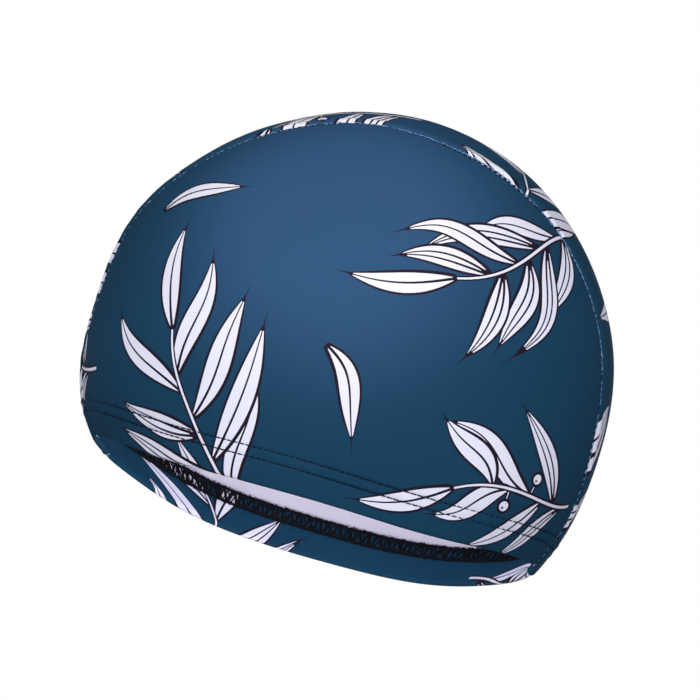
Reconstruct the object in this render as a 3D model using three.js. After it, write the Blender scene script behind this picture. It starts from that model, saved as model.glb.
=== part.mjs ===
// A swim cap of printed stretch cloth, in millimetres, as a head fills it. +Z is up, +Y is the
// back of the head and +X its left side. The origin is the middle of the opening, level with
// the front and back ends of the rim.
// Three panels are sewn edge to edge: one over each side of the head, and a centre panel that
// runs from the forehead over the crown to the nape. At the rim their cloth folds inwards as a
// hem, and a band of close thread binds the hem's raw edge all round.

import * as THREE from "three";

// Sizes of the filled cap, outside
const LENGTH = 198;
const BREADTH = 160;
const CROWN_HEIGHT = 151.5;
const WIDEST_HEIGHT = 49;
const FULLNESS = 2.33;
const EAR_DROP = 9.4;
const CORNER_DROP = 2.5;
const WORN_TILT = 16.5;

// Cloth, hem and binding
const CLOTH = 1;
const LAYER_GAP = 0.6;
const SEAM_GAP = 0.4;
const HEM_TURN = 8.8;
const BAND_WIDTH = 6.2;
const BAND_THICKNESS = 1.3;
const BAND_GAP = 0.35;

// Facets
const SEAM_STEPS = 42;
const RIM_STEPS = 28;
const PANEL_RINGS = 10;
const CENTRE_STEPS = 6;
const FOLD_STEPS = 4;
const HEM_STEPS = 2;
const BAND_STEPS = 84;

// The outline from the side, one row for each angle up from straight ahead, round a point at
// the height where the cap is broadest. Reach is a share of half the length, or of the height
// from there to the crown. Seam is the half width of the centre panel as a share of half the
// breadth.
const SECTIONS = [
  { angle: -60, reach: 0.950, seam: 0.16 },
  { angle: -40, reach: 0.930, seam: 0.22 },
  { angle: -20, reach: 0.990, seam: 0.28 },
  { angle: 0, reach: 0.985, seam: 0.34 },
  { angle: 20, reach: 1.005, seam: 0.41 },
  { angle: 40, reach: 0.990, seam: 0.50 },
  { angle: 60, reach: 0.985, seam: 0.57 },
  { angle: 80, reach: 0.995, seam: 0.61 },
  { angle: 100, reach: 1.010, seam: 0.64 },
  { angle: 120, reach: 1.020, seam: 0.60 },
  { angle: 140, reach: 1.020, seam: 0.53 },
  { angle: 160, reach: 1.020, seam: 0.46 },
  { angle: 180, reach: 1.005, seam: 0.36 },
  { angle: 200, reach: 1.015, seam: 0.22 },
  { angle: 220, reach: 1.000, seam: 0.09 },
  { angle: 240, reach: 0.990, seam: 0.04 },
  { angle: 260, reach: 0.985, seam: 0.05 },
  { angle: 280, reach: 0.975, seam: 0.10 },
];

const HALF_LENGTH = LENGTH / 2;
const HALF_BREADTH = BREADTH / 2;
const UPPER_HEIGHT = CROWN_HEIGHT - WIDEST_HEIGHT;
const FOLD_RADIUS = CLOTH + LAYER_GAP / 2;
const BAND_DEPTH = CLOTH + LAYER_GAP;
const DEG = Math.PI / 180;

// Reads a column of the table at any angle, in radians, on a smooth curve through its rows.
function section(column, angle) {
  const count = SECTIONS.length;
  const place = (angle / DEG - SECTIONS[0].angle) * count / 360;
  const row = Math.floor(place);
  const t = place - row;
  const value = (k) => SECTIONS[(((row + k) % count) + count) % count][column];
  const [before, from, to, after] = [value(-1), value(0), value(1), value(2)];
  const slope = to - before;
  const bend = 2 * before - 5 * from + 4 * to - after;
  const twist = 3 * (from - to) + after - before;
  return from + 0.5 * t * (slope + t * (bend + t * twist));
}

// The outside of the cap in a direction from its centre: turn is the angle round the side
// outline, and spread the angle away from the wearer's left.
function surfacePoint(turn, spread) {
  const across = Math.cos(spread);
  const along = Math.sin(spread);
  const reach = section("reach", turn);
  const size = (Math.abs(across) ** FULLNESS + (along / reach) ** FULLNESS) ** (-1 / FULLNESS);
  return new THREE.Vector3(
    HALF_BREADTH * size * across,
    -HALF_LENGTH * size * along * Math.cos(turn),
    WIDEST_HEIGHT + UPPER_HEIGHT * size * along * Math.sin(turn),
  );
}

// The direction from the cap's centre to a point.
function direction(point) {
  const ahead = -point.y / HALF_LENGTH;
  const up = (point.z - WIDEST_HEIGHT) / UPPER_HEIGHT;
  return {
    turn: Math.atan2(up, ahead),
    spread: Math.atan2(Math.hypot(ahead, up), point.x / HALF_BREADTH),
  };
}

// How far out a point lies: under 1 inside the cap and over 1 outside it.
function outwardness(point) {
  const { turn, spread } = direction(point);
  const edge = surfacePoint(turn, spread);
  const centre = new THREE.Vector3(0, 0, WIDEST_HEIGHT);
  return point.distanceTo(centre) / edge.distanceTo(centre);
}

function outwardNormal(point) {
  const step = 0.02;
  const slope = (axis) => {
    const ahead = point.clone();
    const behind = point.clone();
    ahead[axis] += step;
    behind[axis] -= step;
    return outwardness(ahead) - outwardness(behind);
  };
  return new THREE.Vector3(slope("x"), slope("y"), slope("z")).normalize();
}

// Halves a range until it closes on the place where test turns from true to false.
function bisect(low, high, test) {
  for (let i = 0; i < 40; i++) {
    const middle = (low + high) / 2;
    if (test(middle)) low = middle;
    else high = middle;
  }
  return (low + high) / 2;
}

// Height of the cap's lower edge, by the angle round the head from its front towards its left.
// The fold of the hem hangs its own radius below this line.
function rimHeight(azimuth) {
  const drop = EAR_DROP * Math.sin(azimuth) ** 2 + CORNER_DROP * Math.sin(2 * azimuth) ** 2;
  return FOLD_RADIUS - drop;
}

function azimuthOf(point) {
  return Math.atan2(point.x, -point.y);
}

// Height of a point above the rim line.
function rise(point) {
  return point.z - rimHeight(azimuthOf(point));
}

// The point of the outside at an azimuth and a height above the rim line.
function wallPoint(azimuth, height) {
  const z = rimHeight(azimuth) + height;
  const at = (radius) =>
    new THREE.Vector3(radius * Math.sin(azimuth), -radius * Math.cos(azimuth), z);
  return at(bisect(1, LENGTH, (radius) => outwardness(at(radius)) < 1));
}

// A point on a line that keeps a share of the seam's distance from the middle, moved sideways.
function panelPoint(turn, share, shift) {
  const reach = section("reach", turn);
  const across = share * section("seam", turn) + shift / HALF_BREADTH;
  const along = reach * (1 - Math.abs(across) ** FULLNESS) ** (1 / FULLNESS);
  return surfacePoint(turn, Math.atan2(along, across));
}

// Angles at which such a line reaches a height above the rim at the front and at the back.
function lineEnds(share, shift, height) {
  const above = (turn) => rise(panelPoint(turn, share, shift)) > height;
  return {
    front: bisect(Math.PI / 2, -80 * DEG, above),
    back: bisect(Math.PI / 2, 260 * DEG, above),
  };
}

// A sheet of cloth: points on its outside, their normals, and triangles that face outwards.
class Sheet {
  constructor() {
    this.points = [];
    this.normals = [];
    this.triangles = [];
  }

  add(point, normal = outwardNormal(point)) {
    this.points.push(point);
    this.normals.push(normal);
    return this.points.length - 1;
  }

  // Joins two rows of points by a strip. The rows run to the right when seen from outside,
  // with the first one above the second.
  strip(upper, lower) {
    for (let i = 0; i + 1 < upper.length; i++) {
      const [a, b, c, d] = [upper[i], upper[i + 1], lower[i + 1], lower[i]];
      if (a !== b) this.triangles.push([a, c, b]);
      this.triangles.push([a, d, c]);
    }
  }

  // The closed solid between the sheet and a copy of it set inwards.
  solid(thickness) {
    const inner = this.points.length;
    const vertices = [
      ...this.points,
      ...this.points.map((p, i) => p.clone().addScaledVector(this.normals[i], -thickness)),
    ];
    const faces = [];
    const edges = new Map();
    for (const [a, b, c] of this.triangles) {
      faces.push(a, b, c, inner + a, inner + c, inner + b);
      for (const [from, to] of [[a, b], [b, c], [c, a]]) {
        if (!edges.delete(`${to} ${from}`)) edges.set(`${from} ${to}`, [from, to]);
      }
    }
    for (const [from, to] of edges.values()) {
      faces.push(to, from, inner + from, to, inner + from, inner + to);
    }
    const geometry = new THREE.BufferGeometry();
    const flat = vertices.flatMap((v) => v.toArray());
    geometry.setAttribute("position", new THREE.Float32BufferAttribute(flat, 3));
    geometry.setIndex(faces);
    geometry.computeVertexNormals();
    return geometry;
  }
}

// Carries a sheet from its lower edge round the fold and up inside as the hem. The columns are
// functions that give the outside point at a height above the rim line.
function addHem(sheet, edge, columns) {
  let last = edge;
  for (let k = 1; k <= FOLD_STEPS; k++) {
    const bend = Math.PI * k / FOLD_STEPS;
    const row = columns.map((column) => {
      const rim = column(0);
      const out = outwardNormal(rim);
      const down = rim.clone().sub(column(FOLD_RADIUS));
      down.addScaledVector(out, -down.dot(out)).normalize();
      const normal = out.clone().multiplyScalar(Math.cos(bend));
      normal.addScaledVector(down, Math.sin(bend));
      const point = rim.clone().addScaledVector(out, -FOLD_RADIUS);
      return sheet.add(point.addScaledVector(normal, FOLD_RADIUS), normal);
    });
    sheet.strip(last, row);
    last = row;
  }
  for (let k = 1; k <= HEM_STEPS; k++) {
    const row = columns.map((column) => {
      const wall = column(HEM_TURN * k / HEM_STEPS);
      const out = outwardNormal(wall);
      return sheet.add(wall.addScaledVector(out, -2 * FOLD_RADIUS), out.negate());
    });
    sheet.strip(last, row);
    last = row;
  }
}

const spread = (from, to, steps) =>
  Array.from({ length: steps + 1 }, (_, i) => from + (to - from) * i / steps);

// The panel over the left side of the head, in rings round its fullest point.
function sidePanel() {
  const sheet = new Sheet();
  const ends = lineEnds(1, SEAM_GAP / 2, 0);
  const seamEnds = (height) => {
    const at = lineEnds(1, SEAM_GAP / 2, height);
    return [at.front, at.back].map((turn) => azimuthOf(panelPoint(turn, 1, SEAM_GAP / 2)));
  };
  const columns = spread(0, 1, RIM_STEPS).map((share) => (height) => {
    const [front, back] = seamEnds(height);
    return wallPoint(front + (back - front) * share, height);
  });
  const seam = spread(ends.back, ends.front, SEAM_STEPS)
    .map((turn) => panelPoint(turn, 1, SEAM_GAP / 2));
  const rim = columns.map((column) => column(0));
  const edge = [...seam, ...rim.slice(1, -1)].map(direction);
  const pole = sheet.add(surfacePoint(0, 0));
  let last = null;
  for (let k = 1; k <= PANEL_RINGS; k++) {
    const ring = edge.map(({ turn, spread: out }) =>
      sheet.add(surfacePoint(turn, out * k / PANEL_RINGS)));
    ring.push(ring[0]);
    if (last) sheet.strip(last, ring);
    else sheet.strip(ring.map(() => pole), ring);
    last = ring;
  }
  addHem(sheet, last.slice(SEAM_STEPS), columns);
  return sheet.solid(CLOTH);
}

// The panel from the forehead over the crown to the nape.
function centrePanel() {
  const sheet = new Sheet();
  const shares = spread(-1, 1, CENTRE_STEPS);
  const line = (share, height) => {
    const shift = -share * SEAM_GAP / 2;
    return { shift, ...lineEnds(share, shift, height) };
  };
  const columnOf = (share, end) => (height) => {
    const at = line(share, height);
    return panelPoint(at[end], share, at.shift);
  };
  const lines = shares.map((share) => line(share, 0));
  const rows = spread(0, 1, SEAM_STEPS).map((t) => shares.map((share, i) => {
    const { front, back, shift } = lines[i];
    return sheet.add(panelPoint(front + (back - front) * t, share, shift));
  }));
  for (let k = 0; k < SEAM_STEPS; k++) {
    sheet.strip(rows[k + 1], rows[k]);
  }
  addHem(sheet, rows[0], shares.map((share) => columnOf(share, "front")));
  const back = shares.map((share) => columnOf(share, "back")).reverse();
  addHem(sheet, rows[SEAM_STEPS].toReversed(), back);
  return sheet.solid(CLOTH);
}

// The band of thread that binds the hem's raw edge, all round the inside.
function edgeBand() {
  const sheet = new Sheet();
  const low = HEM_TURN + BAND_GAP;
  const rows = [low + BAND_WIDTH, low].map((height) => {
    const row = spread(0, 2 * Math.PI, BAND_STEPS).slice(0, -1).map((azimuth) => {
      const wall = wallPoint(azimuth, height);
      const out = outwardNormal(wall);
      return sheet.add(wall.addScaledVector(out, -BAND_DEPTH), out);
    });
    return [...row, row[0]];
  });
  sheet.strip(...rows);
  return sheet.solid(BAND_THICKNESS);
}

function mirrored(geometry) {
  const copy = geometry.clone();
  copy.scale(-1, 1, 1);
  const index = copy.getIndex();
  for (let i = 0; i < index.count; i += 3) {
    const [b, c] = [index.getX(i + 1), index.getX(i + 2)];
    index.setX(i + 1, c);
    index.setX(i + 2, b);
  }
  copy.computeVertexNormals();
  return copy;
}

function piece(name, geometry, color, roughness) {
  const material = new THREE.MeshStandardMaterial({ color, roughness, metalness: 0 });
  const mesh = new THREE.Mesh(geometry, material);
  mesh.name = name;
  return mesh;
}

const PRINTED_CLOTH = "#3d6f8a";
const BLACK_THREAD = "#141218";

const leftPanel = sidePanel();
const cap = new THREE.Group();
cap.rotation.x = -WORN_TILT * DEG;
cap.add(
  piece("side_panel_left", leftPanel, PRINTED_CLOTH, 0.75),
  piece("side_panel_right", mirrored(leftPanel), PRINTED_CLOTH, 0.75),
  piece("centre_panel", centrePanel(), PRINTED_CLOTH, 0.75),
  piece("edge_band", edgeBand(), BLACK_THREAD, 0.9),
);

const model = new THREE.Group();
model.add(cap);

export default model;
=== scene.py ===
# A swim cap of printed stretch cloth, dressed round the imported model.
# Shapes are worked out in millimetres with the cap's rim level, then tilted as it is worn and
# turned into metres as each mesh is made.

import math
import random

import bpy
import numpy as np
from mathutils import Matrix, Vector
from mathutils.geometry import delaunay_2d_cdt


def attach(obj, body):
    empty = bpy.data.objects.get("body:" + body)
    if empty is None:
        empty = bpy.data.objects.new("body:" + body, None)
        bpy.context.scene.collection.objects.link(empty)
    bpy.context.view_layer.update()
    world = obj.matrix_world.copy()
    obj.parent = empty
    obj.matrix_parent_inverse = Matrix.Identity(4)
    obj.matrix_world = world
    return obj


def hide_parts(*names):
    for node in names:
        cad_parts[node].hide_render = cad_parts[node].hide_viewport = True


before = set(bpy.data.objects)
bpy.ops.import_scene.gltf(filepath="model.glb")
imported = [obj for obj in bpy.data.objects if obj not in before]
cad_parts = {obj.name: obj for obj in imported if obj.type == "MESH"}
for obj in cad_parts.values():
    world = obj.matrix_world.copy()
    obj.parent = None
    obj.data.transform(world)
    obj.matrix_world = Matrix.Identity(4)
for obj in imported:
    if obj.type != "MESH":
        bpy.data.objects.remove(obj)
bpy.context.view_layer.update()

MM = 0.001

# The photograph's viewpoint
CAMERA_PLACE = (924.1, 18.8, -161.3)
CAMERA_AIM = (13.4, 16.4, 56.2)
CAMERA_LENS = 129.5
CAMERA_SENSOR = 36

# Round soft lamps, with their places and widths in millimetres and their power in watts. The
# inner one is small, stands in the opening and lights the far side of the inside.
LAMPS = [
    {"name": "key_light", "place": (940, -60, 310), "size": 800, "power": 6.5},
    {"name": "front_light", "place": (880, 300, -140), "size": 500, "power": 2.2},
    {"name": "far_side_light", "place": (-950, 100, 260), "size": 900, "power": 3},
    {"name": "back_light", "place": (-350, 950, 200), "size": 900, "power": 0.9},
    {"name": "brow_light", "place": (-350, -950, 200), "size": 900, "power": 1.8},
]
INNER_LAMP = {"name": "inner_light", "place": (48, -14, -24), "size": 60, "power": 0.095}
INNER_AIM = (-75, -10, 12)

# The backdrop's and the floor's own brightness, to the camera and as light on the cap, and the
# floor's width and height in metres
BACKDROP_SEEN = 1.0
BACKDROP_FELT = 0.17
FLOOR_SEEN = 0.6
FLOOR_FELT = 0.0
FLOOR_SIZE = 12
FLOOR_HEIGHT = -0.9

# Sizes of the filled cap, as in the model
LENGTH = 198
BREADTH = 160
CROWN_HEIGHT = 151.5
WIDEST_HEIGHT = 49
FULLNESS = 2.33
EAR_DROP = 9.4
CORNER_DROP = 2.5
WORN_TILT = math.radians(16.5)
FOLD_RADIUS = 1.3
HEM_TURN = 8.8
BAND_WIDTH = 6.2
BAND_GAP = 0.35

# Outline from the side and half width of the centre panel, every 20 degrees up from the front
FIRST_ANGLE = -60
ANGLE_STEP = 20
REACH = np.array([0.95, 0.93, 0.99, 0.985, 1.005, 0.99, 0.985, 0.995, 1.01,
                  1.02, 1.02, 1.02, 1.005, 1.015, 1.0, 0.99, 0.985, 0.975])
SEAM = np.array([0.16, 0.22, 0.28, 0.34, 0.41, 0.5, 0.57, 0.61, 0.64,
                 0.6, 0.53, 0.46, 0.36, 0.22, 0.09, 0.04, 0.05, 0.1])

# The cloth, its seams and the relief that sewing gives it
CLOTH = 0.85
HEM_END = 15
WORN_STRETCH = 1.1
# Centre in millimetres and reach of a painted highlight: the cloth's colour is made lighter round
# the fullest part of the head, standing in for light that falls there
FULLEST = (0, 14, 89)
FULLEST_REACH = 90
SEAM_OPENING = 0.05
SEAM_DEPTH = 0.75
SEAM_SOFTNESS = 1.3
PUCKER = 0.16
PUCKER_REACH = 2.6
RIDGE = 0.4
RIDGE_AWAY = 2.6
RIDGE_WIDTH = 1.3
FURROW = 0.24
FURROW_WIDTH = 0.55
RIPPLE = 0.06
RIPPLE_REACH = 4.5
SLACK = 0.22

# Topstitching: heights of its rows above the rim, and one stitch
STITCH_ROWS = (7.4, 10.9)
STITCH_LENGTH = 2.6
STITCH_SHARE = 0.84
STITCH_RADIUS = 0.24
STITCH_SUNK = 0.3
STITCH_LIFT = 0.28

# Seam allowances inside, and the thread wound over them
ALLOWANCE = 5
ALLOWANCE_THICKNESS = 1.5
ALLOWANCE_START = 0.4
WOUND_PITCH = 2.3
WOUND_STEP = 0.2
WOUND_RADIUS = 0.24

# The binding's threads, in millimetres, and a crossing thread's phase as a share of its zigzag
ZIGZAG = 4.7
CROSSING_THREADS = [
    {"phase": 0, "depth": 2.75, "radius": 0.42},
    {"phase": 0.12, "depth": 3.05, "radius": 0.36},
    {"phase": 0.5, "depth": 2.95, "radius": 0.3},
]
SIDE_INSET = 0.45
SIDE_DEPTH = 2.9
SIDE_THREADS = [
    {"edge": "low", "beat": 3.1, "swing": 0.26, "radius": 0.46},
    {"edge": "high", "beat": 2.1, "swing": 0.4, "radius": 0.36},
]
LOOP_STEP = 1.15
LOW_LOOP_SHARE = 0.25
FIBRE_STEP = 1.3
FIBRE_RADIUS = 0.07

# How finely the meshes are made: points along edges and rows, heights of rows above the rim, and
# the rest in millimetres
SEAM_STEPS = 220
HEM_STEPS = 24
HEM_EDGE_STEPS = 160
SIDE_ROW_STEPS = 210
CENTRE_ROW_STEPS = 48
FOLD_ROWS = [-0.5 * k for k in range(10)]
HEM_ROWS = [-6.5, -9, -12, -15, -18, -21]
WALL_ROWS = [2.5, 5, 7.5, 13.15]
ROWS_BY_STITCHING = (-0.9, -0.45, 0, 0.45, 0.9)
ROWS_BY_EDGE = (0.4, 0.9, 1.5, 2.3, 3.4)
GRID_STEP = 2.6
LEAST_GAP = 0.42
LEAST_EDGE_GAP = 0.3
SLOPE_STEP = 0.02
NORMAL_STEP = 0.05
MERGE_GAP = 1e-4

HALF_LENGTH = LENGTH / 2
HALF_BREADTH = BREADTH / 2
UPPER_HEIGHT = CROWN_HEIGHT - WIDEST_HEIGHT
CROWN_SPAN = (HALF_LENGTH + UPPER_HEIGHT) / 2
FOLD_LENGTH = math.pi * FOLD_RADIUS
STRAIGHT_UP = math.pi / 2


# The cap's surface

def section(column, turn):
    """Reads a column of the table at any angle on a smooth curve through its values."""
    place = (np.degrees(turn) - FIRST_ANGLE) / ANGLE_STEP
    row = np.floor(place).astype(int)
    t = place - row
    before, start, end, after = (column[(row + k) % len(column)] for k in (-1, 0, 1, 2))
    slope = end - before
    bend = 2 * before - 5 * start + 4 * end - after
    twist = 3 * (start - end) + after - before
    return start + 0.5 * t * (slope + t * (bend + t * twist))


def points(*axes):
    return np.stack(np.broadcast_arrays(*axes), -1).astype(float)


def surface_point(turn, spread):
    """The outside in a direction: turn round the side outline, spread from the wearer's left."""
    across, along = np.cos(spread), np.sin(spread)
    far = along / section(REACH, turn)
    size = (np.abs(across) ** FULLNESS + far ** FULLNESS) ** (-1 / FULLNESS)
    return points(
        HALF_BREADTH * size * across,
        -HALF_LENGTH * size * along * np.cos(turn),
        WIDEST_HEIGHT + UPPER_HEIGHT * size * along * np.sin(turn),
    )


def direction(point):
    ahead = -point[..., 1] / HALF_LENGTH
    up = (point[..., 2] - WIDEST_HEIGHT) / UPPER_HEIGHT
    turn = np.arctan2(up, ahead)
    turn = np.where(turn < -STRAIGHT_UP, turn + 2 * math.pi, turn)
    return turn, np.arctan2(np.hypot(ahead, up), point[..., 0] / HALF_BREADTH)


def outwardness(point):
    """Under 1 inside the cap and over 1 outside it."""
    ahead = -point[..., 1] / HALF_LENGTH
    up = (point[..., 2] - WIDEST_HEIGHT) / UPPER_HEIGHT
    along = np.hypot(ahead, up) / section(REACH, np.arctan2(up, ahead))
    across = np.abs(point[..., 0]) / HALF_BREADTH
    return (across ** FULLNESS + along ** FULLNESS) ** (1 / FULLNESS)


def unit(vectors):
    return vectors / np.linalg.norm(vectors, axis=-1, keepdims=True)


def left_of(way):
    """Unit vectors to the left of flat ones."""
    return unit(np.stack([-way[:, 1], way[:, 0]], -1))


def turns_round(count):
    return np.linspace(0, 2 * math.pi, count + 1)[:-1]


def outward_normal(point):
    slopes = []
    for axis in np.eye(3) * SLOPE_STEP:
        slopes.append(outwardness(point + axis) - outwardness(point - axis))
    return unit(np.stack(slopes, -1))


def bisect(low, high, test):
    """Closes on the place between low and high where test turns from true to false."""
    for _ in range(36):
        middle = (low + high) / 2
        held = test(middle)
        low = np.where(held, middle, low)
        high = np.where(held, high, middle)
    return (low + high) / 2


def azimuth_of(point):
    return np.arctan2(point[..., 0], -point[..., 1])


def rim_height(azimuth):
    drop = EAR_DROP * np.sin(azimuth) ** 2 + CORNER_DROP * np.sin(2 * azimuth) ** 2
    return FOLD_RADIUS - drop


def rise(point):
    return point[..., 2] - rim_height(azimuth_of(point))


def wall_point(azimuth, height):
    """The outside at an azimuth and a height above the rim line."""
    azimuth, height = np.broadcast_arrays(azimuth, np.asarray(height, float))
    z = rim_height(azimuth) + height

    def at(radius):
        return points(radius * np.sin(azimuth), -radius * np.cos(azimuth), z)

    low = np.ones(z.shape)
    return at(bisect(low, low * LENGTH, lambda radius: outwardness(at(radius)) < 1))


def seam_spread(turn, shift=0.0):
    across = section(SEAM, turn) + shift / HALF_BREADTH
    along = section(REACH, turn) * (1 - across ** FULLNESS) ** (1 / FULLNESS)
    return np.arctan2(along, across)


def seam_turn(end, height, shift):
    """The angle at which the left seam meets a height above the rim, in front or behind."""
    height = np.asarray(height, float)
    low = np.full(height.shape, STRAIGHT_UP)
    last = math.radians(-80 if end == "front" else 260)
    high = np.full(height.shape, last)

    def above(turn):
        return rise(surface_point(turn, seam_spread(turn, shift))) > height

    return bisect(low, high, above)


def seam_azimuth(end, height, shift):
    turn = seam_turn(end, height, shift)
    return azimuth_of(surface_point(turn, seam_spread(turn, shift)))


def worn(point):
    """Tilts points as the cap is worn."""
    y = point[..., 1] * math.cos(WORN_TILT) + point[..., 2] * math.sin(WORN_TILT)
    z = point[..., 2] * math.cos(WORN_TILT) - point[..., 1] * math.sin(WORN_TILT)
    return points(point[..., 0], y, z)


# The cut of the panels. A panel is drawn flat, and laid on the cap by way of a direction.

class SidePanel:
    """The left panel. Its cut's middle is the fullest point, with the back to the right."""

    shift = SEAM_OPENING / 2

    def direction(self, cut):
        ahead = -cut[..., 0] / HALF_LENGTH
        up = cut[..., 1] / UPPER_HEIGHT
        return np.arctan2(up, ahead), np.hypot(ahead, up)

    def cut_of(self, point):
        turn, spread = direction(point)
        return points(-HALF_LENGTH * spread * np.cos(turn), UPPER_HEIGHT * spread * np.sin(turn))

    def from_seam(self, turn, spread):
        return (seam_spread(turn) - spread) * CROWN_SPAN

    def outline(self):
        ends = [float(seam_turn(end, 0, self.shift)) for end in ("back", "front")]
        turn = np.linspace(*ends, SEAM_STEPS)
        seam = self.cut_of(surface_point(turn, seam_spread(turn, self.shift)))
        below = np.linspace(0, FOLD_LENGTH + HEM_END, HEM_STEPS)[1:]
        height = np.maximum(below - FOLD_LENGTH, 0)
        front = seam_azimuth("front", height, self.shift)
        back = seam_azimuth("back", height, self.shift)
        edge = np.linspace(front[-1], back[-1], HEM_EDGE_STEPS)[1:-1]
        return np.concatenate([
            seam,
            self.cut_of(wall_point(front, -below)),
            self.cut_of(wall_point(edge, -below[-1])),
            self.cut_of(wall_point(back, -below))[::-1],
        ])

    def row(self, height):
        """Points of the cut at a height above the rim, or below it as far as the hem's edge."""
        level = np.maximum(-height - FOLD_LENGTH, 0) if height < 0 else height
        front, back = (float(seam_azimuth(end, level, self.shift)) for end in ("front", "back"))
        return self.cut_of(wall_point(np.linspace(front, back, SIDE_ROW_STEPS), height))


class CentrePanel:
    """The panel over the crown. Its cut runs from the forehead, below, to the nape."""

    shift = -SEAM_OPENING / 2

    def direction(self, cut):
        turn = cut[..., 1] / CROWN_SPAN + STRAIGHT_UP
        across = cut[..., 0] / HALF_BREADTH
        along = section(REACH, turn) * (1 - np.abs(across) ** FULLNESS) ** (1 / FULLNESS)
        return turn, np.arctan2(along, across)

    def cut_of(self, point):
        turn = direction(point)[0]
        return points(point[..., 0], (turn - STRAIGHT_UP) * CROWN_SPAN)

    def from_seam(self, turn, spread):
        across = np.abs(1 / np.tan(spread)) * section(REACH, turn)
        share = across / (1 + across ** FULLNESS) ** (1 / FULLNESS)
        lean = (share / (1 - share ** FULLNESS) ** (1 / FULLNESS)) ** (FULLNESS - 1)
        return (section(SEAM, turn) - share) * HALF_BREADTH * np.hypot(1, lean)

    def outline(self):
        below = np.linspace(0, FOLD_LENGTH + HEM_END, HEM_STEPS)[1:]
        height = np.maximum(below - FOLD_LENGTH, 0)
        ends = [float(seam_turn(end, 0, self.shift)) for end in ("front", "back")]
        turn = np.linspace(*ends, SEAM_STEPS)
        seam = self.cut_of(surface_point(turn, seam_spread(turn, self.shift)))
        front, back = (
            self.cut_of(wall_point(seam_azimuth(end, height, self.shift), -below))
            for end in ("front", "back")
        )
        left = np.concatenate([front[::-1], seam, back])
        return np.concatenate([left, left[::-1] * (-1, 1)])

    def row(self, height):
        level = np.maximum(-height - FOLD_LENGTH, 0) if height < 0 else height
        rows = []
        for end, middle in (("front", 0), ("back", math.pi)):
            side = float(seam_azimuth(end, level, self.shift))
            azimuth = np.linspace(side, 2 * middle - side, CENTRE_ROW_STEPS)
            rows.append(self.cut_of(wall_point(azimuth, height)))
        return np.concatenate(rows)


def relief(panel, turn, spread, cut, height):
    """How far the cloth stands out or in, in millimetres, over the plain form of the cap."""
    x, y = cut[..., 0], cut[..., 1]
    seam = np.maximum(panel.from_seam(turn, spread), 0)
    along = turn * CROWN_SPAN
    out = -SEAM_DEPTH * np.exp(-(seam / SEAM_SOFTNESS) ** 2)
    wave = np.sin(along / 1.05 + 2.2 * np.sin(along / 9.0)) + 0.6 * np.sin(along / 1.9 + seam / 3)
    out += PUCKER * wave * np.exp(-seam / PUCKER_REACH) * (1 - np.exp(-seam / 0.8))
    if isinstance(panel, CentrePanel):
        out += RIDGE * np.exp(-((seam - RIDGE_AWAY) / RIDGE_WIDTH) ** 2)
    for row in STITCH_ROWS:
        away = (height - row) / FURROW_WIDTH
        pull = 0.75 + 0.25 * np.cos(2 * math.pi * x / STITCH_LENGTH)
        out -= FURROW * pull * np.exp(-away ** 2)
    ripple = np.sin(x / 1.7 + height / 2.2 + 1.5 * np.sin(x / 12))
    out += RIPPLE * ripple * np.exp(-((height - sum(STITCH_ROWS) / 2) / RIPPLE_REACH) ** 2)
    slack = np.sin(x / 14.0 + 1.3 * np.sin(y / 17.0)) * np.sin(y / 21.0 + 0.8 * np.sin(x / 26.0))
    return out + SLACK * slack


def lay(panel, cut):
    """Lays points of a cut on the cap, round the fold of the hem and up inside it."""
    turn, spread = panel.direction(cut)
    place = surface_point(turn, spread)
    below = -rise(place)
    azimuth = azimuth_of(place)
    normal = outward_normal(place)
    beyond = below > 0
    if beyond.any():
        under, round_head = below[beyond], azimuth[beyond]
        height = np.maximum(under - FOLD_LENGTH, 0)
        wall = wall_point(round_head, height)
        out = outward_normal(wall)
        down = wall_point(round_head, 0) - wall_point(round_head, FOLD_RADIUS)
        down = unit(down - np.sum(down * out, -1, keepdims=True) * out)
        bend = np.minimum(under, FOLD_LENGTH)[:, None] / FOLD_RADIUS
        turned = out * np.cos(bend) + down * np.sin(bend)
        place[beyond] = wall - FOLD_RADIUS * out + FOLD_RADIUS * turned
        normal[beyond] = turned
    return place + normal * relief(panel, turn, spread, cut, -below)[:, None]


# The print: leafy sprigs with berries, inked in outline, on a plain ground

GROUND, LEAF, INK, LINING = range(4)
REPEAT = (214, 184)
REPEATS_ROUND = 3
HOME_REACH = 45
INK_WIDTH = 1.15
LEAF_STEPS = 26
LEAST_PALE = 0.12
STEM_WIDTH = 1.4
BERRY_RADIUS = 2.0
BERRY_AWAY = 7


def rotated(shape, angle):
    c, s = math.cos(angle), math.sin(angle)
    return np.stack([shape[:, 0] * c - shape[:, 1] * s, shape[:, 0] * s + shape[:, 1] * c], -1)


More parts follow.
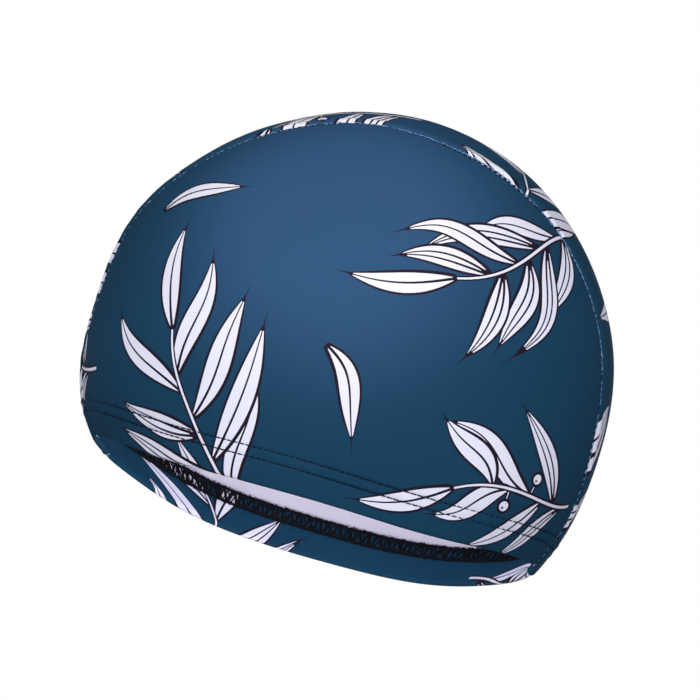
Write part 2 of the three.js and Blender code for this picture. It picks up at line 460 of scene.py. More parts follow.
def leaf(base, angle, length, width, bow, curl=0.0, sway=0.0, veins=(0.0,)):
    """A narrow pointed leaf: an inked shape, heavier on one side, and pale strips between veins."""
    t = np.linspace(0, 1, LEAF_STEPS)
    bend = bow * np.sin(math.pi * t) + curl * t ** 3 + sway * np.sin(2 * math.pi * t)
    middle = np.stack([length * t, length * bend], -1)
    side = left_of(np.gradient(middle, axis=0))
    half = width / 2 * np.sin(math.pi * t ** 0.9) ** 0.95
    fade = 1 - 0.65 * t ** 7
    heavy = (half + INK_WIDTH * (1.2 - 0.5 * t) * fade)[:, None]
    light = (half + INK_WIDTH * (0.8 - 0.1 * t) * fade)[:, None]
    tip = middle[-1] + (middle[-1] - middle[-2]) * 3
    shapes = [(INK, np.concatenate([middle - side * heavy, [tip], (middle + side * light)[::-1]]))]
    edges = [-1.0, *veins, 1.0]
    for k, (near, far) in enumerate(zip(edges, edges[1:])):
        rib = INK_WIDTH * (0.46 - 0.3 * t)
        low = near * half + (0 if k == 0 else rib)
        high = far * half - (0 if k == len(veins) else rib)
        open_part = high - low > LEAST_PALE
        if open_part.sum() < 4:
            continue
        here, across = middle[open_part], side[open_part]
        lower = here + across * low[open_part, None]
        upper = here + across * high[open_part, None]
        shapes.append((LEAF, np.concatenate([lower, upper[::-1]])))
    return [(kind, rotated(shape, angle) + base) for kind, shape in shapes]


def berry(base, radius):
    """An inked ring round a pale disc, with a small eye."""
    ring = turns_round(18)
    circle = np.stack([np.cos(ring), np.sin(ring)], -1)
    eye = circle * radius * 0.25 + base + (radius * 0.3, radius * 0.3)
    return [(INK, circle * (radius + INK_WIDTH) + base), (LEAF, circle * radius + base), (INK, eye)]


def stem(line, width):
    """A pale stem with inked sides, tapering to its tip."""
    side = left_of(np.gradient(line, axis=0))
    taper = np.linspace(1, 0.5, len(line))[:, None]
    shapes = []
    for kind, half in ((INK, width / 2 + INK_WIDTH * 0.9), (LEAF, width / 2)):
        offset = side * half * taper
        shapes.append((kind, np.concatenate([line - offset, (line + offset)[::-1]])))
    return shapes


def sprig(length, bow, pairs, leaf_length, leaf_width, berries, seed):
    """A curved stem with leaves on both sides, one at its tip, and a few berries."""
    rng = random.Random(seed)
    t = np.linspace(0, 1, LEAF_STEPS)
    line = np.stack([length * t, bow * length * np.sin(1.9 * t) ** 2], -1)
    way = np.gradient(line, axis=0)
    leaves, fruit = [], []
    for i in range(pairs):
        for side in (1, -1):
            share = 0.12 + 0.8 * (i + (0.0 if side > 0 else 0.45)) / pairs
            at = min(int(share * (LEAF_STEPS - 1)), LEAF_STEPS - 2)
            heading = math.atan2(way[at, 1], way[at, 0])
            size = leaf_length * (1.1 - 0.5 * abs(share - 0.35)) * rng.uniform(0.8, 1.12)
            angle = heading + side * rng.uniform(0.5, 0.95)
            veins = (rng.uniform(-0.15, 0.15),) if rng.random() < 0.6 else (-0.3, 0.35)
            wide = leaf_width * rng.uniform(0.78, 1.12)
            lean = side * rng.uniform(-0.04, 0.1)
            curl = -side * rng.uniform(0.0, 0.2)
            sway = rng.uniform(-0.045, 0.045)
            leaves += leaf(line[at], angle, size, wide, lean, curl, sway, veins)
            if berries and (i + side) % berries == 0:
                aside = heading + side * 1.6
                spot = line[at] + BERRY_AWAY * np.array([math.cos(aside), math.sin(aside)])
                fruit += stem(np.linspace(line[at], spot, 5), 0.5) + berry(spot, BERRY_RADIUS)
    heading = math.atan2(way[-1, 1], way[-1, 0])
    leaves += leaf(line[-1], heading, leaf_length * 0.9, leaf_width * 0.85, 0.05, -0.08)
    return fruit + leaves + stem(line, STEM_WIDTH)


MOTIFS = {
    "long": sprig(84, 0.16, 4, 45, 8.6, 0, seed=4),
    "short": sprig(62, -0.2, 3, 39, 8.4, 3, seed=12),
    "full": sprig(64, 0.24, 4, 42, 8.8, 0, seed=17),
    "loose": leaf(np.zeros(2), 0.0, 34, 7.0, 0.07, -0.12, 0.03),
}

# One repeat of the printed cloth: each motif's place in millimetres and its angle in degrees
LAYOUT = [
    {"motif": "long", "x": -12, "y": -84, "angle": 116},
    {"motif": "full", "x": 78, "y": 78, "angle": 214},
    {"motif": "short", "x": 116, "y": -34, "angle": 196},
    {"motif": "loose", "x": -84, "y": 34, "angle": 28},
    {"motif": "loose", "x": -4, "y": -6, "angle": -52},
]


def printed_shapes(outline, corner, angle):
    """The motifs that fall on a panel cut from the cloth at a place and an angle."""
    low, high = outline.min(0) - HOME_REACH, outline.max(0) + HOME_REACH
    shapes = []
    for i in range(-REPEATS_ROUND, REPEATS_ROUND + 1):
        for j in range(-REPEATS_ROUND, REPEATS_ROUND + 1):
            for item in LAYOUT:
                home = np.array([[item["x"] + i * REPEAT[0], item["y"] + j * REPEAT[1]]], float)
                home = rotated(home, angle)[0] + corner
                if (home < low).any() or (home > high).any():
                    continue
                for kind, shape in MOTIFS[item["motif"]]:
                    shapes.append((kind, rotated(shape, math.radians(item["angle"]) + angle) + home))
    inside = []
    for kind, shape in shapes:
        if (shape.max(0) > outline.min(0)).all() and (shape.min(0) < outline.max(0)).all():
            inside.append((kind, shape))
    return inside


# Meshes

def distance_to(line, spots):
    """Distance of spots from a closed line, and whether they lie inside it."""
    start, end = line, np.roll(line, -1, 0)
    way = end - start
    best = np.full(len(spots), 1e9)
    inside = np.zeros(len(spots), bool)
    for a, b, w in zip(start, end, way):
        t = np.clip(((spots - a) @ w) / (w @ w), 0, 1)
        best = np.minimum(best, np.hypot(*(spots - a - t[:, None] * w).T))
        crosses = (a[1] > spots[:, 1]) != (b[1] > spots[:, 1])
        slope = (spots[:, 1] - a[1]) * w[0] / (w[1] if w[1] else 1e-12) + a[0]
        inside ^= crosses & (spots[:, 0] < slope)
    return best, inside


def signed_area(line):
    """Area inside a closed line, negative where it runs clockwise."""
    x, y = line.T
    return np.sum(x * np.roll(y, -1) - y * np.roll(x, -1)) / 2


def grid(low, high, step):
    rows = np.arange(low[1], high[1], step * 0.866)
    spots = []
    for i, y in enumerate(rows):
        x = np.arange(low[0] + (i % 2) * step / 2, high[0], step)
        spots.append(points(x, y))
    return np.concatenate(spots)


def thinned(spots, apart):
    """Drops spots that share a small cell with an earlier one."""
    cells = np.round(spots / apart).astype(int)
    _, first = np.unique(cells, axis=0, return_index=True)
    return spots[np.sort(first)]


def cut_spots(panel, outline):
    """Where a cut is divided: close rows along seams, stitching and fold, a wide grid between."""
    stitching = [row + away for row in STITCH_ROWS for away in ROWS_BY_STITCHING]
    heights = [*FOLD_ROWS, *HEM_ROWS, *stitching, *WALL_ROWS]
    spots = [np.concatenate([panel.row(height) for height in heights])]
    inward = left_of(np.roll(outline, -1, 0) - np.roll(outline, 1, 0))
    inward *= np.sign(signed_area(outline))
    for away in ROWS_BY_EDGE:
        along = np.concatenate([outline, (outline + np.roll(outline, -1, 0)) / 2])
        spots.append(along + np.concatenate([inward, inward]) * away)
    spots.append(grid(outline.min(0), outline.max(0), GRID_STEP))
    spots = thinned(np.concatenate(spots), LEAST_GAP)
    away, inside = distance_to(outline, spots)
    return spots[inside & (away > LEAST_EDGE_GAP)]


def panel_shell(name, panel, corner, angle, mirrored, materials):
    """A closed shell of cloth. Its outer face carries the print, cut into the mesh."""
    outline = panel.outline()
    corner = np.array(corner, float)
    shapes = [(GROUND, outline)] + printed_shapes(outline, corner, math.radians(angle))
    spots = cut_spots(panel, outline)
    flat, faces = [], []
    for _, shape in shapes:
        faces.append(list(range(len(flat), len(flat) + len(shape))))
        flat += [Vector(p) for p in shape]
    flat += [Vector(p) for p in spots]
    corners, _, parts, _, _, owners_of = delaunay_2d_cdt(flat, [], faces, 1, MERGE_GAP, True)
    cut = np.array([tuple(v) for v in corners])
    kept = [(face, max(owners)) for face, owners in zip(parts, owners_of) if 0 in owners]
    triangles = np.array([face for face, _ in kept])
    kinds = np.array([shapes[owner][0] for _, owner in kept])
    a, b, c = (cut[triangles[:, k]] for k in range(3))
    area = (b - a)[:, 0] * (c - a)[:, 1] - (b - a)[:, 1] * (c - a)[:, 0]
    triangles[area < 0] = triangles[area < 0][:, ::-1]

    place = lay(panel, cut)
    across = lay(panel, cut + (NORMAL_STEP, 0)) - lay(panel, cut - (NORMAL_STEP, 0))
    upward = lay(panel, cut + (0, NORMAL_STEP)) - lay(panel, cut - (0, NORMAL_STEP))
    normal = unit(np.cross(across, upward))
    if mirrored:
        place = place * (-1, 1, 1)
        normal = normal * (-1, 1, 1)
        triangles = triangles[:, ::-1]

    count = len(cut)
    back = triangles[:, ::-1] + count
    sides = {}
    for t in triangles:
        for k in range(3):
            p, q = int(t[k]), int(t[(k + 1) % 3])
            if (q, p) in sides:
                del sides[(q, p)]
            else:
                sides[(p, q)] = True
    walls = [(q, p, p + count, q + count) for p, q in sides]
    whole = np.concatenate([place, place - normal * CLOTH])
    mesh = bpy.data.meshes.new(name)
    mesh.from_pydata((worn(whole) * MM).tolist(), [], triangles.tolist() + back.tolist() + walls)
    slots = np.concatenate([kinds, np.full(len(back) + len(walls), LINING)])
    mesh.polygons.foreach_set("material_index", slots.astype(np.int32))
    for material in materials:
        mesh.materials.append(material)
    normals = worn(np.concatenate([normal, -normal]))
    mesh.polygons.foreach_set("use_smooth", np.ones(len(mesh.polygons), bool))
    mesh.normals_split_custom_set_from_vertices(normals.tolist())
    mesh.update()
    piece = bpy.data.objects.new(name, mesh)
    bpy.context.collection.objects.link(piece)
    return piece


class Threadwork:
    """Collects round threads into one mesh."""

    def __init__(self, sides=6):
        self.sides = sides
        self.verts = []
        self.faces = []
        self.count = 0

    def add(self, line, out, radius, closed=False):
        way = np.roll(line, -1, 0) - np.roll(line, 1, 0) if closed else np.gradient(line, axis=0)
        way = unit(way)
        side = unit(np.cross(way, out))
        lift = np.cross(side, way)
        angle = turns_round(self.sides)
        radius = np.broadcast_to(radius, len(line))[:, None, None]
        ring = side[:, None] * np.cos(angle)[:, None] + lift[:, None] * np.sin(angle)[:, None]
        self.verts.append((line[:, None] + radius * ring).reshape(-1, 3))
        n, m = len(line), self.sides
        for i in range(n if closed else n - 1):
            here, there = self.count + i * m, self.count + ((i + 1) % n) * m
            for k in range(m):
                j = (k + 1) % m
                self.faces.append((here + k, here + j, there + j, there + k))
        if not closed:
            self.faces.append(tuple(self.count + k for k in range(m))[::-1])
            self.faces.append(tuple(self.count + (n - 1) * m + k for k in range(m)))
        self.count += n * m

    def piece(self, name, material):
        mesh = bpy.data.meshes.new(name)
        mesh.from_pydata((worn(np.concatenate(self.verts)) * MM).tolist(), [], self.faces)
        mesh.polygons.foreach_set("use_smooth", np.ones(len(mesh.polygons), bool))
        mesh.materials.append(material)
        mesh.update()
        made = bpy.data.objects.new(name, mesh)
        bpy.context.collection.objects.link(made)
        return made


# Materials. Sizes of their patterns are in repeats to the metre, and depths in metres.

KNIT_SIZE = 800
STRAND_SIZE = 2600
BUMP_DEPTH = 0.0001


def linear(colour):
    """Plain 0 to 255 colour values as the shader wants them."""
    share = [c / 255 for c in colour]
    return [c / 12.92 if c <= 0.04045 else ((c + 0.055) / 1.055) ** 2.4 for c in share] + [1]


def link(tree, start, end):
    tree.links.new(start, end)


def make_knit_group():
    """Fine knit: outputs a height for bump and a slight shade, from a place in metres."""
    group = bpy.data.node_groups.new("fine_knit", "ShaderNodeTree")
    face = group.interface
    face.new_socket(name="Place", in_out="INPUT", socket_type="NodeSocketVector")
    face.new_socket(name="Size", in_out="INPUT", socket_type="NodeSocketFloat")
    face.new_socket(name="Height", in_out="OUTPUT", socket_type="NodeSocketFloat")
    face.new_socket(name="Shade", in_out="OUTPUT", socket_type="NodeSocketFloat")
    start = group.nodes.new("NodeGroupInput")
    end = group.nodes.new("NodeGroupOutput")
    scale = group.nodes.new("ShaderNodeVectorMath")
    scale.operation = "SCALE"
    link(group, start.outputs["Place"], scale.inputs[0])
    link(group, start.outputs["Size"], scale.inputs["Scale"])
    wales = group.nodes.new("ShaderNodeTexWave")
    wales.wave_type = "BANDS"
    wales.bands_direction = "Y"
    wales.inputs["Scale"].default_value = 1.0
    wales.inputs["Distortion"].default_value = 1.5
    wales.inputs["Detail"].default_value = 1.0
    courses = group.nodes.new("ShaderNodeTexWave")
    courses.wave_type = "BANDS"
    courses.bands_direction = "Z"
    courses.inputs["Scale"].default_value = 1.4
    courses.inputs["Distortion"].default_value = 1.5
    fuzz = group.nodes.new("ShaderNodeTexNoise")
    fuzz.inputs["Scale"].default_value = 2.2
    fuzz.inputs["Detail"].default_value = 2.0
    for texture in (wales, courses, fuzz):
        link(group, scale.outputs[0], texture.inputs["Vector"])
    both = group.nodes.new("ShaderNodeMath")
    both.operation = "MULTIPLY"
    link(group, wales.outputs["Fac"], both.inputs[0])
    link(group, courses.outputs["Fac"], both.inputs[1])
    height = group.nodes.new("ShaderNodeMath")
    height.operation = "MULTIPLY_ADD"
    link(group, fuzz.outputs["Fac"], height.inputs[0])
    height.inputs[1].default_value = 0.6
    link(group, both.outputs[0], height.inputs[2])
    link(group, height.outputs[0], end.inputs["Height"])
    link(group, height.outputs[0], end.inputs["Shade"])
    return group


def make_painted_highlight_group():
    """Painted highlight, with a slow random drift: 1 over the fullest part of the head, 0 far off.
    """
    group = bpy.data.node_groups.new("painted_highlight_and_drift", "ShaderNodeTree")
    group.interface.new_socket(name="Place", in_out="INPUT", socket_type="NodeSocketVector")
    group.interface.new_socket(name="Lightness", in_out="OUTPUT", socket_type="NodeSocketFloat")
    start = group.nodes.new("NodeGroupInput")
    end = group.nodes.new("NodeGroupOutput")
    flat = group.nodes.new("ShaderNodeVectorMath")
    flat.operation = "MULTIPLY"
    flat.inputs[1].default_value = (0, 1, 1)
    link(group, start.outputs["Place"], flat.inputs[0])
    away = group.nodes.new("ShaderNodeVectorMath")
    away.operation = "DISTANCE"
    away.inputs[1].default_value = [c * MM for c in FULLEST]
    link(group, flat.outputs[0], away.inputs[0])
    share = group.nodes.new("ShaderNodeMapRange")
    share.interpolation_type = "SMOOTHSTEP"
    share.inputs["From Min"].default_value = FULLEST_REACH * MM
    share.inputs["From Max"].default_value = 0.0
    link(group, away.outputs["Value"], share.inputs["Value"])
    drift = group.nodes.new("ShaderNodeTexNoise")
    drift.inputs["Scale"].default_value = 14
    drift.inputs["Detail"].default_value = 1
    link(group, start.outputs["Place"], drift.inputs["Vector"])
    both = group.nodes.new("ShaderNodeMath")
    both.operation = "MULTIPLY_ADD"
    link(group, drift.outputs["Fac"], both.inputs[0])
    both.inputs[1].default_value = 0.22
    link(group, share.outputs["Result"], both.inputs[2])
    link(group, both.outputs[0], end.inputs["Lightness"])
    return group


KNIT = make_knit_group()
# A painted highlight for the cloth's colour, lighter round the fullest part of the head
PAINTED_HIGHLIGHT_GROUP = make_painted_highlight_group()


def cloth_material(name, light, dark, roughness, gloss, sheen):
    """Matt elastic knit. Its colour drifts between two near tones, lighter in a painted highlight.
    """
    material = bpy.data.materials.new(name)
    material.use_nodes = True
    tree = material.node_tree
    shader = tree.nodes["Principled BSDF"]
    place = tree.nodes.new("ShaderNodeTexCoord")
    knit = tree.nodes.new("ShaderNodeGroup")
    knit.node_tree = KNIT
    knit.inputs["Size"].default_value = KNIT_SIZE
    link(tree, place.outputs["Object"], knit.inputs["Place"])
    # Painted highlight: the colour turns to the light tone round the fullest part of the head, where
    # light falls, and drifts slowly at random
    highlight_node = tree.nodes.new("ShaderNodeGroup")
    highlight_node.node_tree = PAINTED_HIGHLIGHT_GROUP
    link(tree, place.outputs["Object"], highlight_node.inputs["Place"])
    mask = tree.nodes.new("ShaderNodeMath")
    mask.operation = "MULTIPLY_ADD"
    link(tree, knit.outputs["Shade"], mask.inputs[0])
    mask.inputs[1].default_value = 0.12
    link(tree, highlight_node.outputs["Lightness"], mask.inputs[2])
    ramp = tree.nodes.new("ShaderNodeValToRGB")
    ramp.color_ramp.interpolation = "EASE"
    ramp.color_ramp.elements[0].position = 0.08
    ramp.color_ramp.elements[0].color = linear(dark)
    ramp.color_ramp.elements[1].position = 0.95
    ramp.color_ramp.elements[1].color = linear(light)
    link(tree, mask.outputs[0], ramp.inputs["Fac"])
    link(tree, ramp.outputs["Color"], shader.inputs["Base Color"])
    bump = tree.nodes.new("ShaderNodeBump")
    bump.inputs["Strength"].default_value = 0.2
    bump.inputs["Distance"].default_value = BUMP_DEPTH
    link(tree, knit.outputs["Height"], bump.inputs["Height"])
    link(tree, bump.outputs["Normal"], shader.inputs["Normal"])
    shader.inputs["Roughness"].default_value = roughness
    shader.inputs["Specular IOR Level"].default_value = gloss
    shader.inputs["Sheen Weight"].default_value = sheen
    shader.inputs["Sheen Roughness"].default_value = 0.4
    return material


def thread_material(name, colour, shine):
    """Twisted sewing thread with slightly fuzzy strands."""
    material = bpy.data.materials.new(name)
    material.use_nodes = True
    tree = material.node_tree
    shader = tree.nodes["Principled BSDF"]
    place = tree.nodes.new("ShaderNodeTexCoord")
    strands = tree.nodes.new("ShaderNodeTexNoise")
    strands.inputs["Scale"].default_value = STRAND_SIZE
    strands.inputs["Detail"].default_value = 2
    link(tree, place.outputs["Object"], strands.inputs["Vector"])
    ramp = tree.nodes.new("ShaderNodeValToRGB")
    ramp.color_ramp.elements[0].color = linear([c * 0.55 for c in colour])
    ramp.color_ramp.elements[1].color = linear([min(255, c * 1.7 + 6) for c in colour])
    link(tree, strands.outputs["Fac"], ramp.inputs["Fac"])
    link(tree, ramp.outputs["Color"], shader.inputs["Base Color"])
    bump = tree.nodes.new("ShaderNodeBump")
    bump.inputs["Strength"].default_value = 0.5
    bump.inputs["Distance"].default_value = BUMP_DEPTH
    link(tree, strands.outputs["Fac"], bump.inputs["Height"])
    link(tree, bump.outputs["Normal"], shader.inputs["Normal"])
    shader.inputs["Roughness"].default_value = shine
    shader.inputs["Specular IOR Level"].default_value = 0.12
    return material


# Each cloth's light tone shows in the painted highlight round the fullest part of the head, and its
# dark tone away from it
ground_cloth = cloth_material("printed_ground", (51, 87, 125), (23, 63, 90), 0.75, 0.04, 0.0)
leaf_cloth = cloth_material("printed_leaf", (248, 248, 255), (233, 233, 255), 0.75, 0.1, 0.0)
ink_cloth = cloth_material("printed_ink", (44, 30, 48), (30, 22, 40), 0.7, 0.1, 0.0)
lining_cloth = cloth_material("cloth_lining", (240, 236, 248), (228, 224, 241), 0.85, 0.1, 0.05)
binding_thread = thread_material("binding_thread", (9, 10, 15), 0.75)
sewing_thread = thread_material("sewing_thread", (6, 18, 34), 0.8)
pale_thread = thread_material("pale_thread", (84, 112, 146), 0.7)
white_thread = thread_material("white_thread", (196, 204, 222), 0.7)

PANEL_MATERIALS = [ground_cloth, leaf_cloth, ink_cloth, lining_cloth]


# The pieces

def build_panels():
    left = panel_shell("left_panel_cloth", SidePanel(), (0, 0), 0, False, PANEL_MATERIALS)
    right = panel_shell("right_panel_cloth", SidePanel(), (-100, -60), 140, True, PANEL_MATERIALS)
    centre = panel_shell("centre_panel_cloth", CentrePanel(), (1, 100), 90, False, PANEL_MATERIALS)
    nodes = ("side_panel_left", "side_panel_right", "centre_panel")
    for piece, node in zip((left, right, centre), nodes):
        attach(piece, "root")
        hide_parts(node)
    return left, right, centre


def declare_cloth(panel):
    """Works out a panel's flat cut, smaller than the worn panel so that the cap grips; nothing uses
    it.
    """
    outline = panel.outline() / WORN_STRETCH * MM


def ring_place(along, height, depth):
    """A place inside the cap by its length round the rim, height above it and depth."""
    azimuth = along / RING_LENGTH * 2 * math.pi
    wall = wall_point(azimuth, height)
    out = outward_normal(wall)
    return wall - out * np.asarray(depth)[..., None], out


RING = wall_point(np.linspace(0, 2 * math.pi, 400), 12)
RING_LENGTH = float(np.linalg.norm(np.diff(RING, axis=0), axis=1).sum())


def build_edge_band():
    """Thick threads cross the hem's raw edge in zigzags, with a twisted row along each side."""
    rng = np.random.default_rng(12)
    low, high = HEM_TURN + BAND_GAP, HEM_TURN + BAND_GAP + BAND_WIDTH
    along = np.linspace(0, RING_LENGTH, round(RING_LENGTH / 0.4) + 1)[:-1]

    def whole(beat):
        return RING_LENGTH / round(RING_LENGTH / beat)

    def drift(size, beat):
        """A slow unevenness that closes round the ring."""
        turn = 2 * math.pi * along / whole(beat)
        return size * (np.sin(turn + rng.uniform(0, 6)) + 0.6 * np.sin(turn * 2 + rng.uniform(0, 6)))

    crossing = Threadwork(6)
    pitch = whole(ZIGZAG)
    for thread in CROSSING_THREADS:
        swing = np.cos(2 * math.pi * (along / pitch + thread["phase"]) + drift(0.25, 31))
        swing = np.arcsin(swing * 0.95) / math.asin(0.95)
        height = (low + high) / 2 + 0.1 + swing * (high - low) * 0.42 + drift(0.12, 13)
        wander = drift(0.3, 9) + rng.normal(0, 0.06, len(along))
        depth = thread["depth"] + 0.2 * np.sin(along * 2.3)
        line, out = ring_place(along + wander, height, depth)
        crossing.add(line, out, thread["radius"] * (1 + 0.12 * np.sin(along * 3.7)), closed=True)
    sides = Threadwork(6)
    for thread in SIDE_THREADS:
        height = low + SIDE_INSET if thread["edge"] == "low" else high - SIDE_INSET
        turn = 2 * math.pi * along / whole(thread["beat"]) + drift(0.5, 23)
        for phase in (0, math.pi):
            wobble = thread["swing"] * np.sin(turn + phase)
            wobble = wobble + rng.normal(0, 0.07, len(along)) + drift(0.1, 17)
            depth = SIDE_DEPTH + 0.3 * np.cos(turn + phase)
            line, out = ring_place(along, height + wobble, depth)
            sides.add(line, out, thread["radius"], closed=True)
    loops = Threadwork(5)
    t = np.linspace(0, 1, 7)
    for start in np.arange(0, RING_LENGTH, LOOP_STEP):
        start += rng.normal(0, 0.25)
        wide, tall = rng.uniform(0.7, 1.3), rng.uniform(0.25, 0.95)
        if rng.random() < LOW_LOOP_SHARE:
            height = low + 0.5 - 0.75 * tall * np.sin(math.pi * t)
        else:
            height = high - SIDE_INSET + tall * np.sin(math.pi * t)
        depth = rng.uniform(2.6, 3.2) + 0.25 * np.sin(math.pi * t)
        line, out = ring_place(start + wide * t, height, depth)
        loops.add(line, out, rng.uniform(0.16, 0.3))
    fibres = Threadwork(3)
    t = np.linspace(0, 1, 5)
    for start in np.arange(0, RING_LENGTH, FIBRE_STEP):
        lean = rng.normal(0, 0.9)
        height = high - 0.2 + rng.uniform(0.4, 1.1) * np.sin(t * rng.uniform(1.6, 2.9))
        line, out = ring_place(start + lean * t, height, 2.8 + rng.uniform(-0.2, 0.4) + 0.3 * t)
        fibres.add(line, out, FIBRE_RADIUS)
    pieces = [crossing.piece("band_crossing_threads", binding_thread),
              sides.piece("band_side_threads", binding_thread),
              loops.piece("band_edge_loops", binding_thread),
              fibres.piece("band_loose_fibres", binding_thread)]
    for piece in pieces:
        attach(piece, "root")
    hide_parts("edge_band")


def build_topstitching():
    """Two rows of single stitches outside, all round, along the top of the hem."""
    rows = Threadwork(6)
    t = np.linspace(0, 1, 7)
    count = round(RING_LENGTH / STITCH_LENGTH)
    for height in STITCH_ROWS:
        for i in range(count):
            along = (i + (1 - STITCH_SHARE) / 2 + STITCH_SHARE * t) * RING_LENGTH / count
            depth = STITCH_SUNK - STITCH_LIFT * np.sin(math.pi * t) ** 0.6
            line, out = ring_place(along, height + 0 * t, depth)
            rows.add(line, out, STITCH_RADIUS)
    piece = rows.piece("hem_topstitching", sewing_thread)
    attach(piece, "root")
    return piece


def seam_place(turn, aside, depth):
    """A place under the left seam: aside is the way across it towards the crown, in millimetres."""
    point = surface_point(turn, seam_spread(turn) + aside / CROWN_SPAN)
    out = outward_normal(point)
    return point - out * np.asarray(depth)[..., None], out


def seam_run(height, step):
    """Angles along the left seam, a step apart, between two places at a height above the rim."""
    front, back = (float(seam_turn(end, height, 0.0)) for end in ("front", "back"))
    return np.linspace(front, back, round((back - front) * CROWN_SPAN / step))


def build_seam_stitches():
    """Short dark stitches on one side of each seam, and the knit's pale core peeping out of it."""
    rng = np.random.default_rng(5)
    dark, pale, white = Threadwork(5), Threadwork(5), Threadwork(5)
    t = np.linspace(-1, 1, 5)

    def lie(work, side, turn, lean, aside, radius, rise):
        sunk = SEAM_DEPTH * np.exp(-(aside / SEAM_SOFTNESS) ** 2) - rise * (1 - 0.8 * t ** 2)
        line, out = seam_place(turn + t * lean / CROWN_SPAN, aside, sunk)
        work.add(line * (side, 1, 1), out * (side, 1, 1), radius)

    for side in (1, -1):
        for turn in seam_run(0, 2.5):
            aside = -0.7 + t * rng.uniform(0.4, 0.6) + rng.normal(0, 0.06)
            lie(dark, side, turn + rng.normal(0, 0.15) / CROWN_SPAN, 0.5, aside, 0.27, 0.14)
        for turn in seam_run(0, 1.9):
            if rng.random() < 0.9:
                aside = 0.35 + rng.normal(0, 0.16) + t * rng.normal(0, 0.16)
                lie(pale, side, turn, rng.uniform(0.6, 1.3), aside, rng.uniform(0.18, 0.3), 0.2)
        for turn in seam_run(0, 5.5):
            if rng.random() < 0.6:
                turn += rng.uniform(-2, 2) / CROWN_SPAN
                aside = 0.35 + t * rng.uniform(0.1, 0.4)
                lie(white, side, turn, rng.uniform(0.2, 0.7), aside, rng.uniform(0.12, 0.2), 0.16)
    pieces = [dark.piece("seam_stitches", sewing_thread), pale.piece("seam_pale_core", pale_thread),
              white.piece("seam_white_specks", white_thread)]
    for piece in pieces:
        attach(piece, "root")
    return pieces


def build_seam_allowances():
    """Inside, the panels' joined edges lie flat to one side, with thread wound over them."""
    corner = turns_round(16)
    wide = np.sign(np.cos(corner)) * np.abs(np.cos(corner)) ** 0.5 * ALLOWANCE / 2
    deep = np.sign(np.sin(corner)) * np.abs(np.sin(corner)) ** 0.5 * ALLOWANCE_THICKNESS / 2
    middle, level = ALLOWANCE / 2 - 1, CLOTH + ALLOWANCE_THICKNESS / 2 + SEAM_DEPTH * 0.4
    turns = seam_run(HEM_END + ALLOWANCE_START, 2.5)
    verts, faces = [], []
    work = Threadwork(5)
    for side in (1, -1):
        start = len(verts) * len(corner)
        for turn in turns:
            ring, _ = seam_place(turn + 0 * corner, middle + wide, level + deep)
            verts.append(worn(ring * (side, 1, 1)))
        n = len(corner)
        for i in range(len(turns) - 1):
            for k in range(n):
                j = (k + 1) % n
                face = (k, j, j + n, k + n) if side > 0 else (k, k + n, j + n, j)
                faces.append([start + i * n + v for v in face])
        last = start + (len(turns) - 1) * n
        for end in ([start + k for k in range(n)][::-1], [last + k for k in range(n)]):
            faces.append(end if side > 0 else end[::-1])
        path = seam_run(HEM_END + ALLOWANCE_START, WOUND_STEP)
        wound = 2 * math.pi * np.arange(len(path)) * WOUND_STEP / WOUND_PITCH
        aside = middle + (ALLOWANCE / 2 + 0.1) * np.cos(wound)
        depth = level + (ALLOWANCE_THICKNESS / 2 + 0.12) * np.sin(wound)
        line, out = seam_place(path, aside, depth)
        work.add(line * (side, 1, 1), out * (side, 1, 1), WOUND_RADIUS)
    mesh = bpy.data.meshes.new("seam_allowances")
    mesh.from_pydata((np.concatenate(verts) * MM).tolist(), [], faces)
    mesh.polygons.foreach_set("use_smooth", np.ones(len(mesh.polygons), bool))
    mesh.materials.append(lining_cloth)
    strips = bpy.data.objects.new("seam_allowances", mesh)
    bpy.context.collection.objects.link(strips)
    threads = work.piece("seam_allowance_threads", binding_thread)
    for piece, slot in ((strips, "cloth_inside"), (threads, "edge_thread")):
        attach(piece, "root")
    return [strips, threads]


# Camera, light and floor

def aim(thing, place, target):
    thing.location = Vector(place) * MM
    thing.rotation_euler = (Vector(target) - Vector(place)).to_track_quat("-Z", "Y").to_euler()


def build_camera():
    data = bpy.data.cameras.new("camera")
    data.lens = CAMERA_LENS
    data.sensor_width = CAMERA_SENSOR
    data.clip_start = 0.01
    data.clip_end = 20
    camera = bpy.data.objects.new("camera", data)
    bpy.context.collection.objects.link(camera)
    aim(camera, CAMERA_PLACE, CAMERA_AIM)
    bpy.context.scene.camera = camera


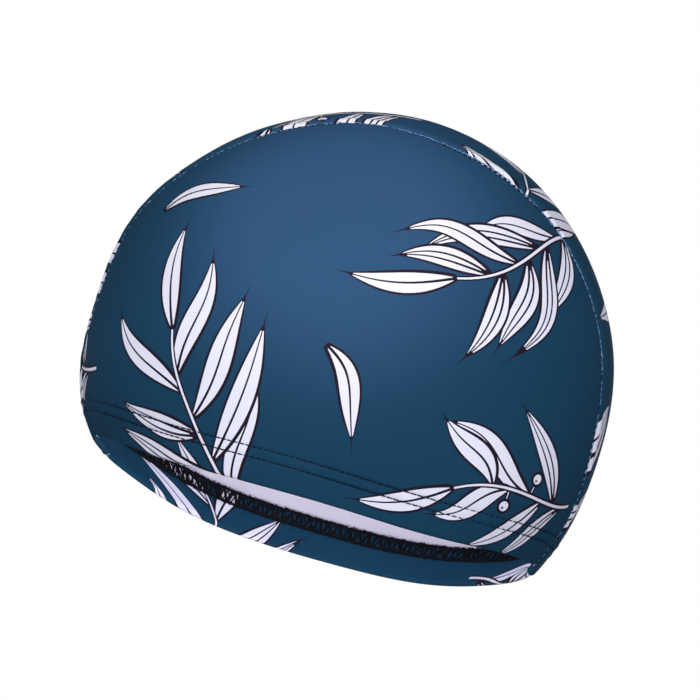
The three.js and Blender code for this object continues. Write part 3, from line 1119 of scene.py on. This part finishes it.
def hang(lamp, target):
    """Puts up one soft lamp, facing a place."""
    data = bpy.data.lights.new(lamp["name"], "AREA")
    data.shape = "DISK"
    data.size = lamp["size"] * MM
    data.energy = lamp["power"]
    hung = bpy.data.objects.new(lamp["name"], data)
    bpy.context.collection.objects.link(hung)
    aim(hung, lamp["place"], target)
    return hung


def seen_or_felt(tree, seen, felt):
    """A strength that the camera sees as one number and the light in the scene feels as another."""
    path = tree.nodes.new("ShaderNodeLightPath")
    strength = tree.nodes.new("ShaderNodeMapRange")
    strength.inputs["To Min"].default_value = felt
    strength.inputs["To Max"].default_value = seen
    link(tree, path.outputs["Is Camera Ray"], strength.inputs["Value"])
    return strength.outputs["Result"]


def build_studio():
    for lamp in LAMPS:
        hang(lamp, CAMERA_AIM)
    hang(INNER_LAMP, INNER_AIM).visible_camera = False
    world = bpy.data.worlds.new("studio")
    bpy.context.scene.world = world
    world.use_nodes = True
    backdrop = world.node_tree.nodes["Background"]
    backdrop.inputs["Color"].default_value = (1, 1, 1, 1)
    strength = seen_or_felt(world.node_tree, BACKDROP_SEEN, BACKDROP_FELT)
    link(world.node_tree, strength, backdrop.inputs["Strength"])
    bpy.ops.mesh.primitive_plane_add(size=FLOOR_SIZE, location=(0, 0, FLOOR_HEIGHT))
    floor = bpy.context.object
    floor.name = "floor"
    paper = bpy.data.materials.new("pale_floor")
    paper.use_nodes = True
    shader = paper.node_tree.nodes["Principled BSDF"]
    shader.inputs["Base Color"].default_value = (0.86, 0.86, 0.87, 1)
    shader.inputs["Roughness"].default_value = 0.9
    shader.inputs["Emission Color"].default_value = (1, 1, 1, 1)
    strength = seen_or_felt(paper.node_tree, FLOOR_SEEN, FLOOR_FELT)
    link(paper.node_tree, strength, shader.inputs["Emission Strength"])
    floor.data.materials.append(paper)
    bpy.context.scene.view_settings.view_transform = "Standard"


build_camera()
build_studio()
left, right, centre = build_panels()
build_edge_band()
topstitching = build_topstitching()
seams = build_seam_stitches() + build_seam_allowances()
declare_cloth(SidePanel())
declare_cloth(SidePanel())
declare_cloth(CentrePanel())
